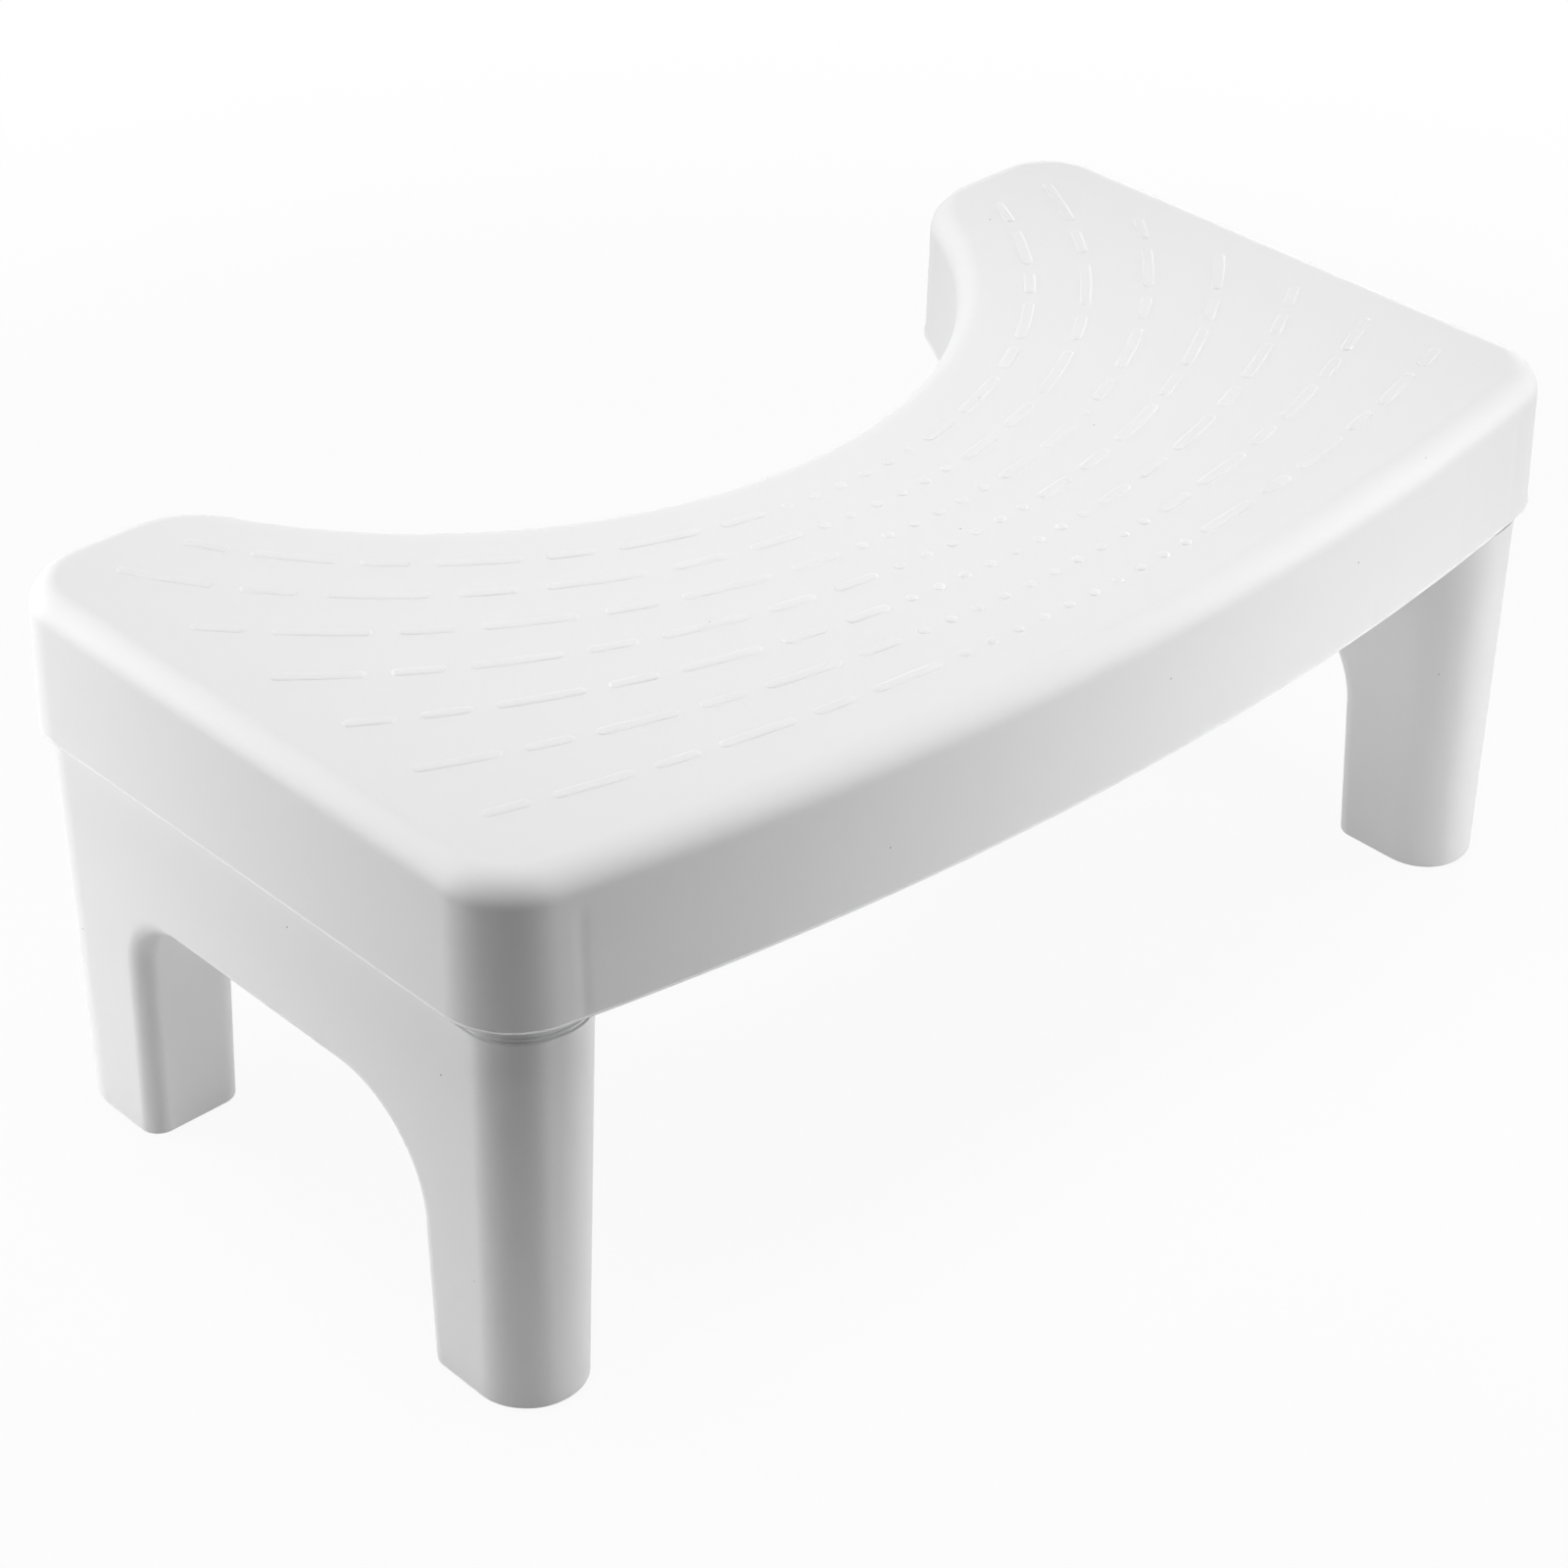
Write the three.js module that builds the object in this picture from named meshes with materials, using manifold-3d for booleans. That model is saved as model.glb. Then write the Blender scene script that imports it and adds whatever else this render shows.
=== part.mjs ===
// Toilet footstool: a crescent seat moulding carried by two plug-in leg frames on rubber foot pads.
// Millimetres, +Z up. The front edge faces -Y, the toilet recess faces +Y, and the floor is z = 0.
import * as THREE from 'three';
import { mergeVertices } from 'three/addons/utils/BufferGeometryUtils.js';
import Module from 'manifold-3d';

const wasm = await Module();
wasm.setup();

// Seat outline in plan
const stoolLength = 400;
const stoolDepth = 225.6;
const frontBow = 21.3;
const prongWidth = 61.5;
const recessDepth = 95.1;
const frontCornerRadius = 23;
const backCornerRadius = 23.4;
const recessCornerRadius = 30.8;

// Seat section
const seatHeight = 42.9;
const seatDraft = 1.2;
const topEdgeRadius = 8;
const skirtWall = 2.8;
const topThickness = 3;

// Grip pattern on the top face
const gripMargin = 22.6;
const frontRowRadius = 588;
const gripWidth = 3;
const gripHeight = 0.7;
const gripBevel = 0.8;
const shortDash = 12.6;
const longDash = 22.4;
const dashGap = 6.2;
const dotPitch = 9.2;
// Each row, from the recess to the front: dots across the middle, then dashes outwards.
const gripRows = [
  { dots: 6, dashes: 'SLSLSLS' },
  { dots: 6, dashes: 'SSLSLSL' },
  { dots: 6, dashes: 'SLSLSLS' },
  { dots: 6, dashes: 'SSLSLSL' },
  { dots: 8, dashes: 'SSLSLSS' },
  { dots: 10, dashes: 'SLSLSL' },
  { dots: 10, dashes: 'LSLSLS' },
];

// Ribs under the top
const ribRoot = 2.2;
const ribTip = 1.5;
const ribDepth = 17;
const crossRibPitch = 52;
const crossRibPairs = 2;
const bowedRibRowShares = [0.25, 0.75];

// Leg frame outline under the skirt, measured in from the skirt's outer face
const standHeight = 123.5;
const legOuterInset = 4.8;
const legFrontInset = 3.4;
const legBackInset = 2.3;
const legWidth = 34;
const legOuterFrontRadius = 15.6;
const legInnerFrontRadius = 14.9;
const legOuterBackRadius = 18.3;
const legInnerBackRadius = 12;

// What each face of a leg leans in by on its way down to the floor
const outerTaper = 0.2;
const innerTaper = 3.1;
const frontTaper = 1.8;
const backTaper = 2.4;
const archFrontTaper = 3.8;
const archRearTaper = 3.2;

// Arch between the front and rear foot of a leg frame
const archDrop = 47.3;
const frontFootDepth = 43.7;
const rearFootDepth = 45.8;
const archFrontRadius = 30;
const archRearRadius = 17;
const archEdgeRadius = 6.1;

// Leg frame section
const footEdgeRadius = 0.8;
const footFloor = 3.6;
const spigotWall = 2;
const archWall = 3;
const shoulderDrop = 5;
const ledgeWidth = 0.8;
const ledgeHeight = 0.8;
const spigotRise = 18;
const spigotLead = 0.8;
const webThickness = 2;
const webPitch = 42;
const webTopDrop = 4;

// Sockets for the leg frames under the seat
const socketWall = 2.2;
const socketWallRise = 1.5;
const locatorPitch = 34;
const locatorPairs = 2;
const fitClearance = 0.3;

// Rubber foot pads
const padInset = 4.6;
const padThickness = 2;
const padProud = 0.7;
const padBevel = 0.5;

// Modelling values: how far a cutter runs past a face, and how many facets a curve gets
const overrun = 4;
const cornerSteps = 7;
const frontArcSteps = 12;
const recessArcSteps = 16;
const filletSteps = 4;
const footEdgeSteps = 2;
const dashEndSteps = 4;
const roundingShare = 0.99;
const dotSides = 8;
const bowedRibSteps = 20;

// Places worked out from the sizes above
const halfLength = stoolLength / 2;
const frontY = -stoolDepth / 2;
const backY = stoolDepth / 2;
const frontRadius = (halfLength ** 2 + frontBow ** 2) / (2 * frontBow);
const frontCentreY = frontY + frontRadius;
const recessHalfWidth = halfLength - prongWidth;
const recessRadius = (recessHalfWidth ** 2 + recessDepth ** 2) / (2 * recessDepth);
const recessEdgeY = backY - recessDepth;
const recessCentreY = recessEdgeY + recessRadius;
const footBottom = padProud;
const shoulderZ = standHeight - shoulderDrop;
const spigotTopZ = standHeight + spigotRise;
const spigotInset = 2 * ledgeWidth;
const legWall = spigotInset + spigotWall;

const whitePlastic = new THREE.MeshStandardMaterial({ color: 0xf2f2f0, roughness: 0.42, metalness: 0 });
const legPlastic = new THREE.MeshStandardMaterial({ color: 0xefefed, roughness: 0.42, metalness: 0 });
const padRubber = new THREE.MeshStandardMaterial({ color: 0x9a9c9d, roughness: 0.85, metalness: 0 });

// Points of an arc in plan, both ends included.
function arcPoints(centreX, centreY, radius, fromAngle, toAngle, steps) {
  return Array.from({ length: steps + 1 }, (_, i) => {
    const angle = fromAngle + ((toAngle - fromAngle) * i) / steps;
    return new THREE.Vector2(centreX + radius * Math.cos(angle), centreY + radius * Math.sin(angle));
  });
}

// Outline of the seat in plan, drawn in by inset: bowed front, rounded ends, arc recess at the back.
function seatOutline(inset) {
  const frontCornerX = halfLength - frontCornerRadius;
  const frontCornerReach = frontRadius - frontCornerRadius;
  const frontCornerY = frontCentreY - Math.sqrt(frontCornerReach ** 2 - frontCornerX ** 2);
  const frontAngle = Math.atan2(frontCornerY - frontCentreY, frontCornerX);
  const recessCornerY = backY - recessCornerRadius;
  const recessCornerReach = recessRadius + recessCornerRadius;
  const recessCornerX = Math.sqrt(recessCornerReach ** 2 - (recessCornerY - recessCentreY) ** 2);
  const recessAngle = Math.atan2(recessCornerY - recessCentreY, recessCornerX);
  const backCornerX = halfLength - backCornerRadius;
  const backCornerY = backY - backCornerRadius;
  const right = Math.PI / 2;
  const half = [
    ...arcPoints(0, frontCentreY, frontRadius - inset, -right, frontAngle, frontArcSteps),
    ...arcPoints(frontCornerX, frontCornerY, frontCornerRadius - inset, frontAngle, 0, cornerSteps).slice(1),
    ...arcPoints(backCornerX, backCornerY, backCornerRadius - inset, 0, right, cornerSteps),
    ...arcPoints(recessCornerX, recessCornerY, recessCornerRadius - inset, right, recessAngle + Math.PI, cornerSteps),
    ...arcPoints(0, recessCentreY, recessRadius + inset, recessAngle, -right, recessArcSteps).slice(1),
  ];
  const mirrored = half.slice(1, -1).reverse().map((point) => new THREE.Vector2(-point.x, point.y));
  return [...half, ...mirrored];
}

// A convex polygon, counter-clockwise, with each side moved in by inset and each corner rounded.
// Where two roundings would meet on a short side, both are eased to fit it.
function roundedPolygon(corners, radii, inset, steps) {
  const count = corners.length;
  const sides = corners.map((corner, i) => {
    const along = corners[(i + 1) % count].clone().sub(corner).normalize();
    const inward = new THREE.Vector2(-along.y, along.x);
    return { start: corner.clone().addScaledVector(inward, inset), along };
  });
  const bends = sides.map((side, i) => {
    const before = sides[(i + count - 1) % count];
    const cross = before.along.cross(side.along);
    const offset = side.start.clone().sub(before.start);
    const place = before.start.clone().addScaledVector(before.along, offset.cross(side.along) / cross);
    const turn = Math.atan2(cross, before.along.dot(side.along));
    return { before, place, turn, tangent: Math.max(radii[i] - inset, 0) * Math.tan(turn / 2) };
  });
  const easings = bends.map((bend, i) => {
    const next = bends[(i + 1) % count];
    const tangents = bend.tangent + next.tangent;
    return tangents > 0 ? Math.min(1, (bend.place.distanceTo(next.place) * roundingShare) / tangents) : 1;
  });
  return bends.flatMap(({ before, place, turn, tangent }, i) => {
    const eased = tangent * Math.min(easings[i], easings[(i + count - 1) % count]);
    const radius = eased / Math.tan(turn / 2);
    const inward = new THREE.Vector2(-before.along.y, before.along.x);
    const centre = place.clone().addScaledVector(before.along, -eased).addScaledVector(inward, radius);
    const start = Math.atan2(-inward.y, -inward.x);
    return arcPoints(centre.x, centre.y, radius, start, start + turn, steps);
  });
}

// Points in plan lifted to one height.
function ringAt(points, z) {
  return points.map((point) => new THREE.Vector3(point.x, point.y, z));
}

// A closed solid through rings of equal count, capped at both ends. plan gives a cap's flat coordinates.
function loftRings(rings, plan = (point) => new THREE.Vector2(point.x, point.y)) {
  const count = rings[0].length;
  const positions = rings.flat().flatMap((point) => [point.x, point.y, point.z]);
  const index = [];
  for (let level = 0; level + 1 < rings.length; level += 1) {
    for (let i = 0; i < count; i += 1) {
      const next = (i + 1) % count;
      const low = level * count;
      const high = low + count;
      index.push(low + i, low + next, high + next);
      index.push(low + i, high + next, high + i);
    }
  }
  const lastRing = (rings.length - 1) * count;
  const capOf = (ring) => THREE.ShapeUtils.triangulateShape(ring.map(plan), []);
  for (const [a, b, c] of capOf(rings[0])) {
    index.push(a, c, b);
  }
  for (const [a, b, c] of capOf(rings[rings.length - 1])) {
    index.push(lastRing + a, lastRing + b, lastRing + c);
  }
  const geometry = new THREE.BufferGeometry();
  geometry.setAttribute('position', new THREE.Float32BufferAttribute(positions, 3));
  geometry.setIndex(index);
  return geometry;
}

// A solid that can be joined and cut.
function solidOf(geometry) {
  const bare = geometry.clone();
  bare.deleteAttribute('normal');
  bare.deleteAttribute('uv');
  const merged = mergeVertices(bare);
  const mesh = new wasm.Mesh({
    numProp: 3,
    vertProperties: new Float32Array(merged.attributes.position.array),
    triVerts: new Uint32Array(merged.index.array),
  });
  mesh.merge();
  return new wasm.Manifold(mesh);
}

function geometryOf(solid) {
  const mesh = solid.getMesh();
  const geometry = new THREE.BufferGeometry();
  geometry.setAttribute('position', new THREE.Float32BufferAttribute(mesh.vertProperties, 3));
  geometry.setIndex(Array.from(mesh.triVerts));
  geometry.computeVertexNormals();
  return geometry;
}

function joined(solids) {
  return solids.reduce((whole, solid) => whole.add(solid));
}

// The same geometry on the other side of the stool's middle, with its faces still pointing out.
function mirroredInX(geometry) {
  const copy = geometry.clone().scale(-1, 1, 1);
  const index = Array.from(copy.index.array);
  for (let i = 0; i < index.length; i += 3) {
    [index[i], index[i + 1]] = [index[i + 1], index[i]];
  }
  copy.setIndex(index);
  return copy;
}

// A straight rib between two points in plan, thick at its root and thinner at its tip.
function straightRib(from, to, tipZ, rootZ) {
  const along = to.clone().sub(from).normalize();
  const side = new THREE.Vector2(-along.y, along.x);
  const ring = (thickness, z) => {
    const reach = side.clone().multiplyScalar(thickness / 2);
    const corners = [from.clone().sub(reach), to.clone().sub(reach), to.clone().add(reach), from.clone().add(reach)];
    return ringAt(corners, z);
  };
  return solidOf(loftRings([ring(ribTip, tipZ), ring(ribRoot, rootZ)]));
}

// Arc that a grip row or a bowed rib follows. The bow eases from the recess's arc to the front row's.
function rowArc(share) {
  const firstY = recessEdgeY - gripMargin;
  const lastY = frontY + gripMargin;
  const firstRadius = recessRadius + gripMargin;
  const middleY = firstY + (lastY - firstY) * share;
  const radius = 1 / ((1 - share) / firstRadius + share / frontRowRadius);
  return { radius, centreY: middleY + radius };
}

// Point of a row at a distance along it from the stool's middle, with its direction.
function pointOnRow(row, distance) {
  const angle = distance / row.radius;
  return {
    place: new THREE.Vector2(row.radius * Math.sin(angle), row.centreY - row.radius * Math.cos(angle)),
    along: new THREE.Vector2(Math.cos(angle), Math.sin(angle)),
  };
}

// How far along a row its last dash may reach: gripMargin short of the seat's end and of its back edge.
function rowReach(row) {
  const endAngle = Math.asin(Math.min(1, (halfLength - gripMargin) / row.radius));
  const backAngle = Math.acos(Math.max(-1, Math.min(1, (row.centreY - backY + gripMargin) / row.radius)));
  return row.radius * Math.min(endAngle, backAngle);
}

// Outline of a raised dash that follows its row between two distances, drawn in by inset.
function dashOutline(row, from, to, inset) {
  const radius = gripWidth / 2 - inset;
  const endOf = (distance, turn) => {
    const { place, along } = pointOnRow(row, distance);
    const facing = Math.atan2(along.y, along.x) + turn;
    const right = Math.PI / 2;
    return arcPoints(place.x, place.y, radius, facing - right, facing + right, dashEndSteps);
  };
  return [...endOf(to - gripWidth / 2, 0), ...endOf(from + gripWidth / 2, Math.PI)];
}

function dotOutline(row, distance, inset) {
  const { place } = pointOnRow(row, distance);
  return arcPoints(place.x, place.y, gripWidth / 2 - inset, 0, 2 * Math.PI, dotSides).slice(1);
}

// A raised mark on the top face: straight foot, bevelled crown.
function gripMark(outlineAt) {
  return solidOf(
    loftRings([
      ringAt(outlineAt(0), seatHeight - topThickness / 2),
      ringAt(outlineAt(0), seatHeight),
      ringAt(outlineAt(gripBevel), seatHeight + gripHeight),
    ]),
  );
}

// The marks of one row: dots about the middle, then dashes stretched to end at the row's reach.
function gripRowMarks({ dots, dashes }, share) {
  const row = rowArc(share);
  const marks = [];
  for (let i = 0; i < dots; i += 1) {
    const distance = (i - (dots - 1) / 2) * dotPitch;
    marks.push(gripMark((inset) => dotOutline(row, distance, inset)));
  }
  const lengths = [...dashes].map((letter) => (letter === 'L' ? longDash : shortDash));
  const start = ((dots - 1) / 2) * dotPitch + gripWidth / 2 + dashGap;
  const natural = lengths.reduce((sum, length) => sum + length, 0) + dashGap * (lengths.length - 1);
  const stretch = (rowReach(row) - start) / natural;
  let from = start;
  for (const length of lengths) {
    const near = from;
    const far = from + length * stretch;
    marks.push(gripMark((inset) => dashOutline(row, near, far, inset)));
    marks.push(gripMark((inset) => dashOutline(row, -far, -near, inset)));
    from = far + dashGap * stretch;
  }
  return marks;
}

// The whole body of the seat: drafted skirt and a rolled top edge.
function seatBody() {
  const filletZ = seatHeight - topEdgeRadius;
  const rings = [ringAt(seatOutline(0), 0)];
  for (let i = 0; i <= filletSteps; i += 1) {
    const angle = ((Math.PI / 2) * i) / filletSteps;
    const inset = seatDraft + topEdgeRadius * (1 - Math.cos(angle));
    rings.push(ringAt(seatOutline(inset), filletZ + topEdgeRadius * Math.sin(angle)));
  }
  return solidOf(loftRings(rings));
}

// What the mould's core leaves under the top, before the ribs are taken out of it.
function seatCavity() {
  const innerRadius = topEdgeRadius - skirtWall;
  const ceilingZ = seatHeight - topThickness;
  const filletZ = ceilingZ - innerRadius;
  const rings = [ringAt(seatOutline(skirtWall), -overrun)];
  for (let i = 0; i <= filletSteps / 2; i += 1) {
    const angle = (Math.PI * i) / filletSteps;
    const inset = skirtWall + seatDraft + innerRadius * (1 - Math.cos(angle));
    rings.push(ringAt(seatOutline(inset), filletZ + innerRadius * Math.sin(angle)));
  }
  return solidOf(loftRings(rings));
}

// A rib that follows a row's arc from one socket wall to the other.
function bowedRib(share, reachX, tipZ, rootZ) {
  const row = rowArc(share);
  const swing = Math.asin(Math.min(1, reachX / row.radius));
  const down = -Math.PI / 2;
  const ring = (thickness, z) => {
    const outer = arcPoints(0, row.centreY, row.radius + thickness / 2, down - swing, down + swing, bowedRibSteps);
    const inner = arcPoints(0, row.centreY, row.radius - thickness / 2, down + swing, down - swing, bowedRibSteps);
    return ringAt([...outer, ...inner], z);
  };
  return solidOf(loftRings([ring(ribTip, tipZ), ring(ribRoot, rootZ)]));
}

// Ribs and sockets under the top, as solids that stay standing in the cavity.
function seatRibs() {
  const rootZ = seatHeight;
  const ribZ = seatHeight - topThickness - ribDepth;
  const spigotOuterX = halfLength - legOuterInset - spigotInset;
  const spigotInnerX = halfLength - legOuterInset - legWidth + spigotInset;
  const wallX = spigotInnerX - fitClearance - socketWall / 2;
  const seatZ = spigotRise + fitClearance;
  const ribs = bowedRibRowShares.map((share) => bowedRib(share, wallX, ribZ, rootZ));
  for (let i = -crossRibPairs; i <= crossRibPairs; i += 1) {
    const x = i * crossRibPitch;
    ribs.push(straightRib(new THREE.Vector2(x, frontY), new THREE.Vector2(x, backY), ribZ, rootZ));
  }
  for (const side of [-1, 1]) {
    const wall = new THREE.BoxGeometry(socketWall, stoolDepth, seatHeight - socketWallRise);
    wall.translate(side * wallX, 0, (seatHeight + socketWallRise) / 2);
    ribs.push(solidOf(wall));
    for (let i = -locatorPairs; i <= locatorPairs; i += 1) {
      const y = i * locatorPitch;
      const skirt = new THREE.Vector2(side * halfLength, y);
      ribs.push(straightRib(new THREE.Vector2(side * wallX, y), skirt, seatZ, rootZ));
      const locatorX = side * (spigotOuterX + fitClearance);
      ribs.push(straightRib(new THREE.Vector2(locatorX, y), skirt, socketWallRise, rootZ));
    }
    const middleX = (side * (spigotOuterX + spigotInnerX)) / 2;
    const frontStopY = frontFaceMiddleY(standHeight) + spigotInset - fitClearance;
    const backStopY = legBackFaceY(standHeight) - spigotInset + fitClearance;
    for (const [stopY, skirtY] of [[frontStopY, frontY], [backStopY, backY]]) {
      const stop = new THREE.Vector2(middleX, stopY);
      ribs.push(straightRib(stop, new THREE.Vector2(middleX, skirtY), socketWallRise, rootZ));
    }
  }
  return joined(ribs);
}

function makeSeat() {
  const hollow = seatCavity().subtract(seatRibs());
  const marks = gripRows.flatMap((row, i) => gripRowMarks(row, i / (gripRows.length - 1)));
  return geometryOf(seatBody().subtract(hollow).add(joined(marks)));
}

// Share of the way from the skirt's lip down to the floor.
function dropShare(z) {
  return Math.max(0, (standHeight - z) / standHeight);
}

const legOuterX = (z) => halfLength - legOuterInset - outerTaper * dropShare(z);
const legInnerX = (z) => halfLength - legOuterInset - legWidth + innerTaper * dropShare(z);
const legBackFaceY = (z) => backY - legBackInset - backTaper * dropShare(z);
const archFrontY = (z) => frontFaceMiddleY(standHeight) + frontFootDepth - archFrontTaper * dropShare(z);
const archRearY = (z) => backY - legBackInset - rearFootDepth + archRearTaper * dropShare(z);

// Front face of a leg frame, which follows the seat's bowed front edge.
function frontFaceY(x, z) {
  const bow = frontCentreY - Math.sqrt((frontRadius - legFrontInset) ** 2 - x ** 2);
  return bow + frontTaper * dropShare(z);
}

function frontFaceMiddleY(z) {
  return (frontFaceY(legOuterX(z), z) + frontFaceY(legInnerX(z), z)) / 2;
}

// Outline of a right-hand leg frame at one height, as if the arch weren't there yet.
function legOutline(z, inset) {
  const corners = [
    new THREE.Vector2(legInnerX(z), frontFaceY(legInnerX(z), z)),
    new THREE.Vector2(legOuterX(z), frontFaceY(legOuterX(z), z)),
    new THREE.Vector2(legOuterX(z), legBackFaceY(z)),
    new THREE.Vector2(legInnerX(z), legBackFaceY(z)),
  ];
  const radii = [legInnerFrontRadius, legOuterFrontRadius, legOuterBackRadius, legInnerBackRadius];
  return roundedPolygon(corners, radii, inset, cornerSteps);
}

// Body of a leg frame: rounded foot edge, tapered sides, stepped shoulder and the spigot above it.
function legBody() {
  const rings = [];
  for (let i = 0; i <= footEdgeSteps; i += 1) {
    const angle = ((Math.PI / 2) * i) / footEdgeSteps;
    const z = footBottom + footEdgeRadius * (1 - Math.cos(angle));
    rings.push(ringAt(legOutline(z, footEdgeRadius * (1 - Math.sin(angle))), z));
  }
  const ledgeZ = shoulderZ + ledgeHeight;
  const steps = [
    [shoulderZ, 0],
    [shoulderZ, ledgeWidth],
    [ledgeZ, ledgeWidth],
    [ledgeZ, spigotInset],
    [spigotTopZ - spigotLead, spigotInset],
    [spigotTopZ, spigotInset + spigotLead / 2],
  ];
  for (const [z, inset] of steps) {
    rings.push(ringAt(legOutline(Math.min(z, shoulderZ), inset), z));
  }
  return solidOf(loftRings(rings));
}

// Profile of the arch seen from the side, as y and z, grown into the body by grow.
function archProfile(grow) {
  const archTopZ = standHeight - archDrop;
  const corners = [
    new THREE.Vector2(archFrontY(-overrun), -overrun),
    new THREE.Vector2(archRearY(-overrun), -overrun),
    new THREE.Vector2(archRearY(archTopZ), archTopZ),
    new THREE.Vector2(archFrontY(archTopZ), archTopZ),
  ];
  return roundedPolygon(corners, [footEdgeRadius, footEdgeRadius, archRearRadius, archFrontRadius], -grow, cornerSteps);
}

// Cutter for the arch, which flares at both faces so that the arch's edges come out rolled.
function archCutter() {
  const stations = [{ depth: -overrun, flare: archEdgeRadius }];
  for (let i = 0; i <= filletSteps; i += 1) {
    const angle = ((Math.PI / 2) * i) / filletSteps;
    stations.push({
      depth: archEdgeRadius * (1 - Math.cos(angle)),
      flare: archEdgeRadius * (1 - Math.sin(angle)),
    });
  }
  const ringAcross = ({ depth, flare }, faceX, inward) =>
    archProfile(flare).map((point) => new THREE.Vector3(faceX(point.y) + inward * depth, point.x, point.y));
  const rings = [
    ...stations.map((station) => ringAcross(station, legInnerX, 1)),
    ...stations.toReversed().map((station) => ringAcross(station, legOuterX, -1)),
  ];
  return solidOf(loftRings(rings, (point) => new THREE.Vector2(point.y, point.z)));
}

// Plain block under the arch that the hollow inside a leg frame keeps clear of, by the arch's wall.
function archKeepOut() {
  const profile = archProfile(archWall);
  const ringAtX = (x) => profile.map((point) => new THREE.Vector3(x, point.x, point.y));
  const rings = [ringAtX(halfLength - legOuterInset - legWidth - overrun), ringAtX(halfLength + overrun)];
  return solidOf(loftRings(rings, (point) => new THREE.Vector2(point.y, point.z)));
}

// Cross webs that tie the two long walls of a leg frame together above the arch.
function legWebs() {
  const lowZ = standHeight - archDrop - overrun;
  const highZ = standHeight - webTopDrop;
  const middleY = (archFrontY(standHeight) + archRearY(standHeight)) / 2;
  return joined(
    [-1, 0, 1].map((place) => {
      const web = new THREE.BoxGeometry(legWidth, webThickness, highZ - lowZ);
      const middleX = (legOuterX(standHeight) + legInnerX(standHeight)) / 2;
      web.translate(middleX, middleY + place * webPitch, (lowZ + highZ) / 2);
      return solidOf(web);
    }),
  );
}

// Outline of one foot at the floor, between its outer faces and the arch.
function footOutline(isFront, inset) {
  const z = footBottom;
  const innerX = legInnerX(z);
  const outerX = legOuterX(z);
  const frontFoot = [
    new THREE.Vector2(innerX, frontFaceY(innerX, z)),
    new THREE.Vector2(outerX, frontFaceY(outerX, z)),
    new THREE.Vector2(outerX, archFrontY(z)),
    new THREE.Vector2(innerX, archFrontY(z)),
  ];
  const rearFoot = [
    new THREE.Vector2(innerX, archRearY(z)),
    new THREE.Vector2(outerX, archRearY(z)),
    new THREE.Vector2(outerX, legBackFaceY(z)),
    new THREE.Vector2(innerX, legBackFaceY(z)),
  ];
  const frontRadii = [legInnerFrontRadius, legOuterFrontRadius, archEdgeRadius, archEdgeRadius];
  const rearRadii = [archEdgeRadius, archEdgeRadius, legOuterBackRadius, legInnerBackRadius];
  return roundedPolygon(isFront ? frontFoot : rearFoot, isFront ? frontRadii : rearRadii, inset, cornerSteps);
}

// Hollow of a leg frame, open at the top of the spigot, with the webs left standing in it.
function legHollow() {
  const floorZ = footBottom + footFloor;
  const rings = [
    ringAt(legOutline(floorZ, legWall), floorZ),
    ringAt(legOutline(shoulderZ, legWall), shoulderZ),
    ringAt(legOutline(shoulderZ, legWall), spigotTopZ + overrun),
  ];
  return solidOf(loftRings(rings)).subtract(archKeepOut()).subtract(legWebs());
}

// Recess under a foot that takes its rubber pad.
function padRecess(isFront) {
  const outline = footOutline(isFront, padInset - fitClearance);
  const ceilingZ = padThickness + fitClearance;
  return solidOf(loftRings([ringAt(outline, -overrun), ringAt(outline, ceilingZ)]));
}

function makeLegFrame() {
  const frame = legBody().subtract(archCutter()).subtract(legHollow());
  return geometryOf(frame.subtract(padRecess(true)).subtract(padRecess(false)));
}

function makeFootPad(isFront) {
  const edge = footOutline(isFront, padInset + padBevel);
  const wide = footOutline(isFront, padInset);
  return loftRings([ringAt(edge, 0), ringAt(wide, padBevel), ringAt(wide, padThickness)]);
}

function namedMesh(name, geometry, material) {
  const mesh = new THREE.Mesh(geometry, material);
  mesh.name = name;
  return mesh;
}

function makeSide(sideName, isLeft) {
  const place = (geometry) => (isLeft ? mirroredInX(geometry) : geometry);
  const side = new THREE.Group();
  side.add(namedMesh(`${sideName}_leg_frame`, place(makeLegFrame()), legPlastic));
  side.add(namedMesh(`front_${sideName}_foot_pad`, place(makeFootPad(true)), padRubber));
  side.add(namedMesh(`rear_${sideName}_foot_pad`, place(makeFootPad(false)), padRubber));
  return side;
}

const footstool = new THREE.Group();
const seat = namedMesh('seat', makeSeat(), whitePlastic);
seat.position.z = standHeight;
footstool.add(seat, makeSide('left', true), makeSide('right', false));

export default footstool;
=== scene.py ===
import math

import bmesh
import bpy
from mathutils import Matrix, Vector


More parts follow.
